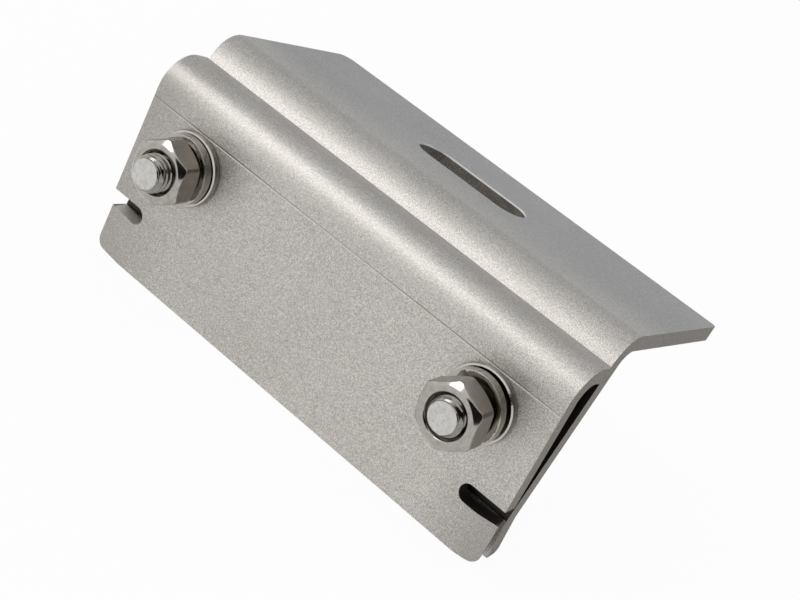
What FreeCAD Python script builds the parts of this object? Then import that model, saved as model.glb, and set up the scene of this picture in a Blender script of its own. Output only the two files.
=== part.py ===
import FreeCAD, Part
import math
import os
import re

import Sketcher

# A clamp for a standing seam roof: two bent steel plates, drawn together by two bolts.
# Axes: +X along the seam, +Y toward the flange, +Z up. Origin: middle of the plates' length,
# middle of the seam gap, level with the bottom edges. All sizes are in millimetres and degrees.

SIZES = [
    # Length of the clamp, the sheet that both plates are bent from, and the gap for the roof seam
    ("jaw_length", 110.0),
    ("sheet_thick", 3.5),
    ("seam_gap", 1.5),
    # Back plate: flared lip, nose, leaning web and falling flange
    ("back_inset", 0.5),
    ("nose_height", 10.0),
    ("nose_bend", 2.0),
    ("lip_flare", 5.8),
    ("lip_edge_round", 1.4),
    ("web_lean", 11.2),
    ("crown_height", 52.12),
    ("crown_bend", 3.4),
    ("flange_fall", 8.7),
    ("flange_length", 49.7),
    ("left_flange_corner", 3.0),
    ("right_flange_corner", 1.2),
    # Slot in the flange, its middle measured back from the free edge
    ("slot_length", 28.5),
    ("slot_width", 10.0),
    ("slot_setback", 24.4),
    # Jaw plate: upright, rolled top and the lip that bears on the back plate
    ("roll_height", 39.4),
    ("roll_bend", 3.6),
    ("lip_gap", 0.1),
    ("crease_height", 37.0),
    ("crease_width", 0.5),
    ("crease_depth", 0.08),
    # Notches and the bent tabs below them, measured in from the plate's ends
    ("notch_bottom", 10.0),
    ("notch_width", 4.1),
    ("left_notch_depth", 9.2),
    ("right_notch_depth", 10.3),
    ("tab_corner", 2.3),
    ("tab_bend", 3.0),
    ("tab_root_step", 0.5),
    ("left_tab_length", 8.0),
    ("left_tab_angle", 8.0),
    ("right_tab_length", 5.0),
    ("right_tab_angle", 15.0),
    # Bolts and their holes
    ("bolt_inset", 15.0),
    ("bolt_height", 29.0),
    ("bolt_dia", 8.0),
    ("bolt_length", 28.0),
    ("bolt_tip_dia", 6.3),
    ("bolt_tip_taper", 0.8),
    ("head_dia", 20.0),
    ("head_height", 4.6),
    ("head_rim", 0.9),
    ("head_gap", 0.05),
    ("neck_side", 8.0),
    ("neck_length", 5.5),
    ("neck_play", 0.35),
    ("jaw_hole_play", 0.5),
    # Washers and nuts
    ("washer_dia", 16.0),
    ("washer_play", 0.5),
    ("washer_thick", 1.6),
    ("spring_dia", 14.8),
    ("spring_play", 0.35),
    ("spring_thick", 2.0),
    ("spring_split", 9.0),
    ("left_spring_height", 2.7),
    ("right_spring_height", 4.7),
    ("left_spring_turn", 225.0),
    ("right_spring_turn", 225.0),
    ("nut_flats", 13.0),
    ("nut_height", 6.3),
    ("nut_corner_dia", 14.6),
    ("nut_face_dia", 11.7),
    ("nut_chamfer", 38.0),
    ("nut_play", 0.05),
    ("nut_sink_dia", 9.1),
    ("nut_gap", 0.05),
    ("left_nut_turn", 26.0),
    ("right_nut_turn", 24.0),
]

# Places that several pieces share, written from the sizes above
HALF_LENGTH = "(jaw_length / 2)"
BACK_HALF = "(jaw_length / 2 - back_inset)"
BOLT_ACROSS = "(jaw_length / 2 - bolt_inset)"
JAW_FACE = "(-seam_gap / 2 - sheet_thick)"
NOSE_FACE = "(seam_gap / 2)"
CROWN_FACE = f"({NOSE_FACE} + (crown_height - nose_height) * tan(web_lean))"
ROLL_CORNER = "(roll_height + (roll_bend + sheet_thick) * tan((90 + web_lean) / 2))"
TAB_TOP = "(notch_bottom + notch_width / 2)"
HEAD_SEAT = (
    f"({NOSE_FACE} + (bolt_height + head_dia / 2 - nose_height) * tan(web_lean)"
    " + sheet_thick / cos(web_lean) + head_gap)"
)
DOME_RISE = "(head_height - head_rim)"
DOME_RADIUS = f"((head_dia ^ 2 / 4 + {DOME_RISE} ^ 2) / (2 * {DOME_RISE}))"


def add_sizes(document):
    """Write the sizes into a sheet, one named cell each."""
    sheet = document.addObject("Spreadsheet::Sheet", "sizes")
    for row, (name, number) in enumerate(SIZES, start=1):
        sheet.set(f"A{row}", name)
        sheet.set(f"B{row}", str(number))
        sheet.setAlias(f"B{row}", name)
    document.recompute()
    return sheet


def size(formula):
    """Work a formula of size names out with the sheet's numbers."""
    return float(FreeCAD.ActiveDocument.getObject("sizes").evalExpression(formula))


def tie(thing, setting, formula):
    """Bind one setting of a document object to a formula of size names."""
    names = r"[a-z]+(?:_[a-z]+)+"
    thing.setExpression(setting, re.sub(names, lambda found: "sizes." + found.group(0), formula))


def add_body(document, name):
    """Start one sub-part."""
    body = document.addObject("PartDesign::Body", name)
    body.Label = name
    return body


def add_sketch(body, name, plane):
    """Start a sketch on one of the body's own origin planes."""
    sketch = body.newObject("Sketcher::SketchObject", name)
    flat = next(part for part in body.Origin.OriginFeatures if part.Role == plane)
    sketch.AttachmentSupport = (flat, [""])
    sketch.MapMode = "FlatFace"
    return sketch


def hold(sketch, name, kind, places, formula):
    """Add a named constraint whose value follows a formula."""
    number = size(formula)
    index = sketch.addConstraint(Sketcher.Constraint(kind, *places, number))
    sketch.renameConstraint(index, name)
    tie(sketch, f"Constraints.{name}", formula)


def hold_point(sketch, name, place, across, up):
    """Hold one point of the sketch at a place given by two formulas."""
    for kind, word, formula in (("DistanceX", "across", across), ("DistanceY", "up", up)):
        if formula == "0":
            axis = -2 if kind == "DistanceX" else -1
            sketch.addConstraint(Sketcher.Constraint("PointOnObject", *place, axis))
        else:
            hold(sketch, f"{name}_{word}", kind, (-1, 1, *place), formula)


def draw_path(sketch, spots):
    """Draw straight lines from spot to spot, joined end to end, and return their numbers."""
    first = sketch.GeometryCount
    points = [FreeCAD.Vector(across, up, 0) for across, up in spots]
    for start, stop in zip(points, points[1:]):
        sketch.addGeometry(Part.LineSegment(start, stop))
    lines = list(range(first, sketch.GeometryCount))
    for line, following in zip(lines, lines[1:]):
        sketch.addConstraint(Sketcher.Constraint("Coincident", line, 2, following, 1))
    return lines


def draw_loop(sketch, spots):
    """Draw a closed loop of straight lines through the spots and return their numbers."""
    lines = draw_path(sketch, spots + spots[:1])
    sketch.addConstraint(Sketcher.Constraint("Coincident", lines[-1], 2, lines[0], 1))
    return lines


def draw_outline(sketch, corners):
    """Draw a closed outline whose named corners are each held by two formulas."""
    spots = [(size(across), size(up)) for _, across, up in corners]
    lines = draw_loop(sketch, spots)
    for line, (name, across, up) in zip(lines, corners):
        hold_point(sketch, name, (line, 1), across, up)
    return lines


def draw_circle(sketch, name, across, up, diameter):
    """Draw a circle held at a place, with its own diameter."""
    middle = FreeCAD.Vector(size(across), size(up), 0)
    circle = Part.Circle(middle, FreeCAD.Vector(0, 0, 1), size(diameter) / 2)
    index = sketch.addGeometry(circle)
    hold_point(sketch, name, (index, 3), across, up)
    hold(sketch, f"{name}_dia", "Diameter", (index,), diameter)


def draw_slot(sketch, name, left, right, middle, width):
    """Draw a slot with round ends between two places along the sketch's first axis."""
    radius = size(width) / 2
    height = size(middle)
    near = FreeCAD.Vector(size(left) + radius, height, 0)
    far = FreeCAD.Vector(size(right) - radius, height, 0)
    rise = FreeCAD.Vector(0, radius, 0)
    normal = FreeCAD.Vector(0, 0, 1)
    top = sketch.addGeometry(Part.LineSegment(near + rise, far + rise))
    bottom = sketch.addGeometry(Part.LineSegment(near - rise, far - rise))
    quarter = math.pi / 2
    far_end = Part.ArcOfCircle(Part.Circle(far, normal, radius), -quarter, quarter)
    near_end = Part.ArcOfCircle(Part.Circle(near, normal, radius), quarter, 3 * quarter)
    far_arc = sketch.addGeometry(far_end)
    near_arc = sketch.addGeometry(near_end)
    joins = (
        (top, 1, near_arc, 1),
        (top, 2, far_arc, 2),
        (bottom, 1, near_arc, 2),
        (bottom, 2, far_arc, 1),
    )
    for join in joins:
        sketch.addConstraint(Sketcher.Constraint("Tangent", *join))
    sketch.addConstraint(Sketcher.Constraint("Horizontal", top))
    hold(sketch, f"{name}_round", "Radius", (far_arc,), f"{width} / 2")
    hold_point(sketch, f"{name}_left", (near_arc, 3), f"{left} + {width} / 2", middle)
    hold(sketch, f"{name}_right", "DistanceX", (-1, 1, far_arc, 3), f"{right} - {width} / 2")


def add_pad(body, name, sketch, length, both_ways=False):
    """Thicken a sketch into a solid, one way or evenly both ways."""
    pad = body.newObject("PartDesign::Pad", name)
    pad.Profile = sketch
    tie(pad, "Length", length)
    pad.Midplane = both_ways
    sketch.Visibility = False
    return pad


def add_cut(body, name, sketch):
    """Cut a sketch right through the body, both ways."""
    cut = body.newObject("PartDesign::Pocket", name)
    cut.Profile = sketch
    cut.Type = "ThroughAll"
    cut.Midplane = True
    sketch.Visibility = False
    return cut


def add_turned(body, kind, name, sketch):
    """Turn a sketch once round the body's Y axis, to add or to cut."""
    turned = body.newObject(kind, name)
    turned.Profile = sketch
    turned.ReferenceAxis = (sketch, ["H_Axis"])
    turned.Angle = 360
    sketch.Visibility = False
    return turned


def edges_near(shape, spots, reach=0.02):
    """Name the edges whose midpoints lie at the given spots."""
    names = []
    for spot in spots:
        probe = Part.Vertex(FreeCAD.Vector(*spot))
        for index, edge in enumerate(shape.Edges, start=1):
            middle = edge.valueAt((edge.FirstParameter + edge.LastParameter) / 2)
            if probe.Point.distanceToPoint(middle) < reach:
                names.append(f"Edge{index}")
    return names


def circles_near(shape, radius, level, reach=0.02):
    """Name the round edges about the Y axis with a radius and a level along Y."""
    names = []
    for index, edge in enumerate(shape.Edges, start=1):
        curve = edge.Curve
        if isinstance(curve, Part.Circle) and abs(curve.Radius - radius) < reach:
            if abs(curve.Center.y - level) < reach:
                names.append(f"Edge{index}")
    return names


def round_edges(body, name, names, radius):
    """Round the named edges of the body's last feature."""
    base = body.Tip
    fillet = body.newObject("PartDesign::Fillet", name)
    fillet.Base = (base, names)
    tie(fillet, "Radius", radius)
    FreeCAD.ActiveDocument.recompute()
    return fillet


def slope_edges(body, name, names, width):
    """Chamfer the named edges of the body's last feature."""
    base = body.Tip
    chamfer = body.newObject("PartDesign::Chamfer", name)
    chamfer.Base = (base, names)
    tie(chamfer, "Size", width)
    FreeCAD.ActiveDocument.recompute()
    return chamfer


def place(body, across, along, up, turn=None):
    """Put a body at its place, turned about the Y axis where a turn is given."""
    if turn:
        axis = FreeCAD.Vector(0, 1, 0)
        rotation = FreeCAD.Rotation(axis, size(turn))
        body.Placement = FreeCAD.Placement(FreeCAD.Vector(0, 0, 0), rotation)
        tie(body, "Placement.Rotation.Angle", turn)
    tie(body, "Placement.Base.x", across)
    tie(body, "Placement.Base.y", along)
    tie(body, "Placement.Base.z", up)


def aim(degrees):
    """Give the direction that lies some degrees round from the first axis."""
    return math.cos(math.radians(degrees)), math.sin(math.radians(degrees))


def offset_path(spots, normals):
    """Shift a bent path by the sheet's thickness, keeping its corners sharp."""
    thick = size("sheet_thick")
    pairs = zip([normals[0]] + normals, normals + [normals[-1]])
    shifted = []
    for (across, up), (before, after) in zip(spots, pairs):
        share = thick / (1 + before[0] * after[0] + before[1] * after[1])
        step = [share * (one + other) for one, other in zip(before, after)]
        shifted.append((across + step[0], up + step[1]))
    return shifted


def draw_sheet(sketch, names, corners, normals):
    """Draw a bent sheet edge on: held outer corners, and an inner side one thickness away.

    Gives back the inner corners.
    """
    outer = [(size(across), size(up)) for across, up in corners]
    inner = offset_path(outer, normals)
    lines = draw_loop(sketch, outer + inner[::-1])
    for line, name, (across, up) in zip(lines, names, corners):
        hold_point(sketch, name, (line, 1), across, up)
    runs = len(corners) - 1
    far_cap = lines[runs]
    near_cap = lines[-1]
    for cap, run, name in ((far_cap, lines[runs - 1], "far"), (near_cap, lines[0], "near")):
        sketch.addConstraint(Sketcher.Constraint("Perpendicular", cap, run))
        hold(sketch, f"{name}_thickness", "Distance", (cap,), "sheet_thick")
    for run in range(runs):
        mate = lines[2 * runs - run]
        sketch.addConstraint(Sketcher.Constraint("Parallel", lines[run], mate))
        if 0 < run < runs - 1:
            places = (mate, 1, lines[run])
            hold(sketch, f"thickness_{run}", "Distance", places, "sheet_thick")
    return inner


def on_side(side, formula):
    """Mirror a formula to the left or keep it on the right."""
    return f"-({formula})" if side == "left" else formula


def notch_end(side):
    """Give the distance from the middle of the plate to a notch's inner end."""
    return f"({HALF_LENGTH} - {side}_notch_depth)"


def tab_root(side):
    """Give the distance from the middle of the plate to the line where a tab starts."""
    return f"({notch_end(side)} + tab_root_step)"


def cut_bolt_holes(body, shape, opening):
    """Cut the two bolt holes through a plate, round or square."""
    sketch = add_sketch(body, "bolt_holes", "XZ_Plane")
    for side in ("left", "right"):
        middle = on_side(side, BOLT_ACROSS)
        if shape == "round":
            draw_circle(sketch, f"{side}_hole", middle, "bolt_height", opening)
            continue
        corners = [
            (f"{side}_{word}", f"{middle} {across} {opening} / 2", f"bolt_height {up} {opening} / 2")
            for word, across, up in (("a", "-", "-"), ("b", "+", "-"), ("c", "+", "+"), ("d", "-", "+"))
        ]
        draw_outline(sketch, corners)
    add_cut(body, "bolt_hole_cut", sketch)


def build_back_plate(document):
    """Back plate: one folded sheet with a flared lip, a leaning web and a slotted flange."""
    body = add_body(document, "back_plate")
    edge_along = f"({CROWN_FACE} + flange_length * cos(flange_fall))"
    edge_up = "(crown_height - flange_length * sin(flange_fall))"
    corners = [
        (f"{NOSE_FACE} + nose_height * tan(lip_flare)", "0"),
        (NOSE_FACE, "nose_height"),
        (CROWN_FACE, "crown_height"),
        (edge_along, edge_up),
    ]
    turns = [size("lip_flare"), -size("web_lean"), -90 - size("flange_fall")]
    sketch = add_sketch(body, "back_profile", "YZ_Plane")
    names = ("foot", "nose", "crown", "edge")
    inner = draw_sheet(sketch, names, corners, [aim(turn) for turn in turns])
    add_pad(body, "back_sheet", sketch, f"2 * {BACK_HALF}", both_ways=True)
    document.recompute()

    nose, crown, edge = [(size(along), size(up)) for along, up in corners[1:]]
    for name, spot, radius in (
        ("nose_outside", nose, "nose_bend + sheet_thick"),
        ("nose_inside", inner[1], "nose_bend"),
        ("crown_outside", crown, "crown_bend + sheet_thick"),
        ("crown_inside", inner[2], "crown_bend"),
        ("lip_edge", inner[0], "lip_edge_round"),
    ):
        names = edges_near(body.Shape, [(0, *spot)])
        round_edges(body, name, names, radius)
    middle = [(one + other) / 2 for one, other in zip(edge, inner[3])]
    for side in ("left", "right"):
        end = size(on_side(side, BACK_HALF))
        names = edges_near(body.Shape, [(end, *middle)])
        round_edges(body, f"{side}_corner", names, f"{side}_flange_corner")

    cut_bolt_holes(body, "square", "(neck_side + 2 * neck_play)")
    sketch = add_sketch(body, "flange_slot", "XY_Plane")
    fall = FreeCAD.Rotation(FreeCAD.Vector(1, 0, 0), -size("flange_fall"))
    sketch.AttachmentOffset = FreeCAD.Placement(FreeCAD.Vector(0, 0, 0), fall)
    tie(sketch, "AttachmentOffset.Rotation.Angle", "-flange_fall")
    tie(sketch, "AttachmentOffset.Base.y", edge_along)
    tie(sketch, "AttachmentOffset.Base.z", edge_up)
    draw_slot(
        sketch, "slot", "(-slot_length / 2)", "(slot_length / 2)", "-slot_setback", "slot_width"
    )
    add_cut(body, "flange_slot_cut", sketch)
    place(body, "0", "0", "0")
    return body


def add_tab(document, body, side):
    """Add one of the jaw plate's lower corners, bent in toward the back plate."""
    angle = f"{side}_tab_angle"
    reach = f"{side}_tab_length"
    line = f"({HALF_LENGTH} - {reach})"
    corners = [
        (on_side(side, tab_root(side)), JAW_FACE),
        (on_side(side, line), JAW_FACE),
        (on_side(side, f"({line} + {reach} * cos({angle}))"), f"{JAW_FACE} + {reach} * sin({angle})"),
    ]
    turn = size(angle)
    normals = [aim(90), aim(90 - turn) if side == "left" else aim(90 + turn)]
    sketch = add_sketch(body, f"{side}_tab_profile", "XY_Plane")
    inner = draw_sheet(sketch, ("root", "bend", "end"), corners, normals)
    add_pad(body, f"{side}_tab", sketch, TAB_TOP)
    document.recompute()
    half = size(TAB_TOP) / 2
    bend = (size(corners[1][0]), size(corners[1][1]))
    for name, spot, radius in (
        ("outside", bend, "tab_bend + sheet_thick"),
        ("inside", inner[1], "tab_bend"),
    ):
        names = edges_near(body.Shape, [(*spot, half)])
        round_edges(body, f"{side}_tab_{name}", names, radius)
    end = (size(corners[2][0]), size(corners[2][1]))
    middle = [(one + other) / 2 for one, other in zip(end, inner[2])]
    names = edges_near(body.Shape, [(*middle, 0)])
    round_edges(body, f"{side}_tab_corner", names, "tab_corner")


def build_jaw_plate(document):
    """Jaw plate: one folded sheet with a rolled top, side notches and bent tabs."""
    body = add_body(document, "jaw_plate")
    reach = (
        "((seam_gap + sheet_thick) * cos(web_lean)"
        f" + ({ROLL_CORNER} - nose_height) * sin(web_lean) - lip_gap)"
    )
    corners = [
        (JAW_FACE, "0"),
        (JAW_FACE, ROLL_CORNER),
        (f"{JAW_FACE} + {reach} * cos(web_lean)", f"{ROLL_CORNER} - {reach} * sin(web_lean)"),
    ]
    normals = [aim(0), aim(-90 - size("web_lean"))]
    sketch = add_sketch(body, "jaw_profile", "YZ_Plane")
    inner = draw_sheet(sketch, ("foot", "roll", "lip"), corners, normals)
    add_pad(body, "jaw_sheet", sketch, "jaw_length", both_ways=True)
    document.recompute()
    roll = (size(corners[1][0]), size(corners[1][1]))
    for name, spot, radius in (
        ("roll_outside", roll, "roll_bend + sheet_thick"),
        ("roll_inside", inner[1], "roll_bend"),
    ):
        round_edges(body, name, edges_near(body.Shape, [(0, *spot)]), radius)

    sketch = add_sketch(body, "crease_profile", "YZ_Plane")
    corners = [
        ("under", JAW_FACE, "crease_height - crease_width / 2"),
        ("root", f"{JAW_FACE} + crease_depth", "crease_height"),
        ("over", JAW_FACE, "crease_height + crease_width / 2"),
    ]
    draw_outline(sketch, corners)
    add_cut(body, "crease_cut", sketch)
    cut_bolt_holes(body, "round", "(bolt_dia + 2 * jaw_hole_play)")

    sketch = add_sketch(body, "tab_room", "XZ_Plane")
    for side in ("left", "right"):
        root = on_side(side, tab_root(side))
        end = on_side(side, "jaw_length")
        corners = [
            (f"{side}_a", root, "-notch_width"),
            (f"{side}_b", end, "-notch_width"),
            (f"{side}_c", end, TAB_TOP),
            (f"{side}_d", root, TAB_TOP),
        ]
        draw_outline(sketch, corners)
    add_cut(body, "tab_room_cut", sketch)
    document.recompute()
    for side in ("left", "right"):
        add_tab(document, body, side)

    sketch = add_sketch(body, "notches", "XZ_Plane")
    left = notch_end("left")
    right = notch_end("right")
    draw_slot(sketch, "left_notch", "(-jaw_length)", f"(-{left})", TAB_TOP, "notch_width")
    draw_slot(sketch, "right_notch", right, "jaw_length", TAB_TOP, "notch_width")
    add_cut(body, "notch_cut", sketch)
    place(body, "0", "0", "0")
    return body


def build_bolt(document, side):
    """Bolt: domed head in three bands, square neck and a plain shank with a tapered tip."""
    body = add_body(document, f"bolt_{side}")
    sweep = f"asin(head_dia / 2 / {DOME_RADIUS})"
    bands = [
        (f"dome_{step}", f"head_height - {DOME_RADIUS} * (1 - cos({sweep} * {step} / 3))",
         f"{DOME_RADIUS} * sin({sweep} * {step} / 3)")
        for step in (2, 1)
    ]
    corners = [
        ("tip", "-bolt_length", "0"),
        ("tip_rim", "-bolt_length", "bolt_tip_dia / 2"),
        ("taper", "bolt_tip_taper - bolt_length", "bolt_dia / 2"),
        ("throat", "0", "bolt_dia / 2"),
        ("under_head", "0", "head_dia / 2"),
        ("head_rim", "head_rim", "head_dia / 2"),
        *bands,
        ("crown", "head_height", "0"),
    ]
    sketch = add_sketch(body, "bolt_profile", "YZ_Plane")
    draw_outline(sketch, corners)
    add_turned(body, "PartDesign::Revolution", "bolt_turned", sketch)

    sketch = add_sketch(body, "neck_square", "XZ_Plane")
    half = "neck_side / 2"
    signs = (("a", "-", "-"), ("b", "", "-"), ("c", "", ""), ("d", "-", ""))
    draw_outline(sketch, [(word, f"{across}{half}", f"{up}{half}") for word, across, up in signs])
    add_pad(body, "neck", sketch, "neck_length")
    place(body, on_side(side, BOLT_ACROSS), HEAD_SEAT, "bolt_height")
    return body


def build_flat_washer(document, side):
    """Flat washer, lying against the jaw plate."""
    body = add_body(document, f"flat_washer_{side}")
    sketch = add_sketch(body, "washer_face", "XZ_Plane")
    draw_circle(sketch, "rim", "0", "0", "washer_dia")
    draw_circle(sketch, "bore", "0", "0", "(bolt_dia + 2 * washer_play)")
    add_pad(body, "washer_disc", sketch, "washer_thick")
    place(body, on_side(side, BOLT_ACROSS), JAW_FACE, "bolt_height")
    return body


def build_spring_washer(document, side):
    """Spring washer: one split turn of flat wire, opened to its own height."""
    body = add_body(document, f"spring_washer_{side}")
    sketch = add_sketch(body, "wire_section", "YZ_Plane")
    inside = "bolt_dia / 2 + spring_play"
    outside = "spring_dia / 2"
    corners = [
        ("seat_inside", "0", inside),
        ("seat_outside", "0", outside),
        ("face_outside", "-spring_thick", outside),
        ("face_inside", "-spring_thick", inside),
    ]
    draw_outline(sketch, corners)
    document.recompute()
    coil = body.newObject("PartDesign::AdditiveHelix", "spring_turn")
    coil.Profile = sketch
    coil.ReferenceAxis = (sketch, ["H_Axis"])
    coil.Mode = "height-turns-angle"
    tie(coil, "Height", f"{side}_spring_height - spring_thick")
    tie(coil, "Turns", "1 - spring_split / 360")
    coil.Reversed = True
    coil.LeftHanded = True
    along = f"{JAW_FACE} - washer_thick"
    turn = f"{side}_spring_turn"
    place(body, on_side(side, BOLT_ACROSS), along, "bolt_height", turn)
    return body


def build_nut(document, side):
    """Hex nut: six flats, turned corners and chamfers, and a bore sunk at the outer face."""
    body = add_body(document, f"hex_nut_{side}")
    sketch = add_sketch(body, "nut_flats", "XZ_Plane")
    reach = "nut_flats / sqrt(3)"
    corners = [(f"corner_{step}", f"{reach} * cos({step})", f"{reach} * sin({step})")
               for step in range(0, 360, 60)]
    draw_outline(sketch, corners)
    add_pad(body, "nut_prism", sketch, "nut_height")

    sketch = add_sketch(body, "nut_turning", "YZ_Plane")
    face = "nut_face_dia / 2"
    corner = "nut_corner_dia / 2"
    beyond = "nut_flats * 2 / 3"
    slope = f"({corner} - {face}) * tan(nut_chamfer)"
    corners = [
        ("front_face", "-nut_height", face),
        ("front_corner", f"{slope} - nut_height", corner),
        ("rear_corner", f"-{slope}", corner),
        ("rear_face", "0", face),
        ("rear_beyond", "0", beyond),
        ("front_beyond", "-nut_height", beyond),
    ]
    draw_outline(sketch, corners)
    add_turned(body, "PartDesign::Groove", "nut_turned", sketch)

    sketch = add_sketch(body, "nut_bore", "XZ_Plane")
    draw_circle(sketch, "bore", "0", "0", "(bolt_dia + 2 * nut_play)")
    add_cut(body, "nut_bore_cut", sketch)
    document.recompute()
    names = circles_near(body.Shape, size("bolt_dia / 2 + nut_play"), -size("nut_height"))
    slope_edges(body, "nut_sink", names, "(nut_sink_dia - bolt_dia) / 2 - nut_play")
    along = f"{JAW_FACE} - washer_thick - {side}_spring_height - nut_gap"
    place(body, on_side(side, BOLT_ACROSS), along, "bolt_height", f"{side}_nut_turn")
    return body


def save_parts(document, bodies):
    """Check every object and sub-part, then write one STEP file for each sub-part."""
    document.recompute()
    for thing in document.Objects:
        if "Invalid" in thing.State or "Error" in thing.State:
            raise RuntimeError(f"{thing.Name} did not build: {thing.State}")
    os.makedirs("parts", exist_ok=True)
    for body in bodies:
        shape = body.Shape
        if shape.isNull() or not shape.isValid() or len(shape.Solids) != 1:
            raise RuntimeError(f"{body.Label} is not one sound solid")
        shape.exportStep(f"parts/{body.Label}.step")
        print(body.Label, round(shape.Volume, 1))


def main():
    """Build the clamp, piece by piece, and write its files."""
    document = FreeCAD.newDocument("standing_seam_clamp")
    add_sizes(document)
    bodies = [build_back_plate(document), build_jaw_plate(document)]
    for side in ("left", "right"):
        bodies.append(build_bolt(document, side))
        bodies.append(build_flat_washer(document, side))
        bodies.append(build_spring_washer(document, side))
        bodies.append(build_nut(document, side))
    save_parts(document, bodies)


main()
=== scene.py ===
import logging
import math
from dataclasses import dataclass, field
from enum import Enum
from typing import Any

import bmesh
import bpy
from bpy.types import Material, Mesh, Node, NodeSocket, NodeTree, Object
from mathutils import Euler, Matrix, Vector


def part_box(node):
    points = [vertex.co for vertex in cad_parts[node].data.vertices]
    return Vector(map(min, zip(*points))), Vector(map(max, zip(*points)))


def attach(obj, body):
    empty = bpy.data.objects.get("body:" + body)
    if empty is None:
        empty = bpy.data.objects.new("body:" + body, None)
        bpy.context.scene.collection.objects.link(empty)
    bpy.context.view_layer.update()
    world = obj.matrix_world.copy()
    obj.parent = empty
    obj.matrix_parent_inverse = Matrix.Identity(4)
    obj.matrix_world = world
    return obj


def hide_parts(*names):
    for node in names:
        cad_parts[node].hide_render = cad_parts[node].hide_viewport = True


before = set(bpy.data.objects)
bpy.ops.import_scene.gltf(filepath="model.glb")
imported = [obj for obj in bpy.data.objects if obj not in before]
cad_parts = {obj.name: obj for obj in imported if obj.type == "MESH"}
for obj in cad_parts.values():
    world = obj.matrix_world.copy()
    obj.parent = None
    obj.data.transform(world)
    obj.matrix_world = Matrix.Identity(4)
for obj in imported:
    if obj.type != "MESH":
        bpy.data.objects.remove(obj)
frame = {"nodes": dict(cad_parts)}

Pair = tuple[float, float]
Triple = tuple[float, float, float]
Tones = tuple[str, str]

LOG = logging.getLogger("standing_seam_clamp")
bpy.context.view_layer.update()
MM = 0.001
FACET_WELD_MM = 0.0005
MATH = "ShaderNodeMath"
VECTOR_MATH = "ShaderNodeVectorMath"
RAMP = "ShaderNodeMapRange"
NOISE = "ShaderNodeTexNoise"
SPLIT = "ShaderNodeSeparateXYZ"
JOIN = "ShaderNodeCombineXYZ"
MIX = "ShaderNodeMix"
SMOOTH = "SMOOTHSTEP"
# Sockets of a Mix node that mixes colours
FACTOR, FIRST, SECOND, MIXED = 0, 6, 7, 2


class Side(Enum):
    """The two ends of the clamp, left at -X and right at +X."""

    LEFT = "left"
    RIGHT = "right"


def linear(code: str) -> tuple[float, float, float, float]:
    """Turn an sRGB hex code into linear colour.

    Args:
        code: Six hex digits after a hash sign.

    Returns:
        Red, green, blue and a full alpha.
    """
    parts = [int(code[start:start + 2], 16) / 255 for start in (1, 3, 5)]
    levels = [part / 12.92 if part <= 0.04045 else ((part + 0.055) / 1.055) ** 2.4 for part in parts]
    return (*levels, 1.0)


def add_node(tree: NodeTree, kind: str, inputs: Any = (), **settings: Any) -> Node:
    """Add one node to a tree, with its settings, values and links.

    Args:
        tree: The tree that gets the node.
        kind: Blender's name of the node's type.
        inputs: Value, node or output socket for each input, in order or by name or number.
        settings: Properties of the node itself.

    Returns:
        The new node.
    """
    node = tree.nodes.new(kind)
    for name, value in settings.items():
        setattr(node, name, value)
    pairs = inputs.items() if isinstance(inputs, dict) else enumerate(inputs)
    for key, value in pairs:
        if isinstance(value, Node):
            value = value.outputs[0]
        if isinstance(value, NodeSocket):
            tree.links.new(value, node.inputs[key])
        else:
            node.inputs[key].default_value = value
    return node


def new_material(name: str) -> tuple[Material, NodeTree, Node]:
    """Start a material on one Principled shader.

    Args:
        name: The material's name.

    Returns:
        The material, its tree and the shader node.
    """
    material = bpy.data.materials.new(name)
    material.use_nodes = True
    tree = material.node_tree
    return material, tree, tree.nodes["Principled BSDF"]


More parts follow.
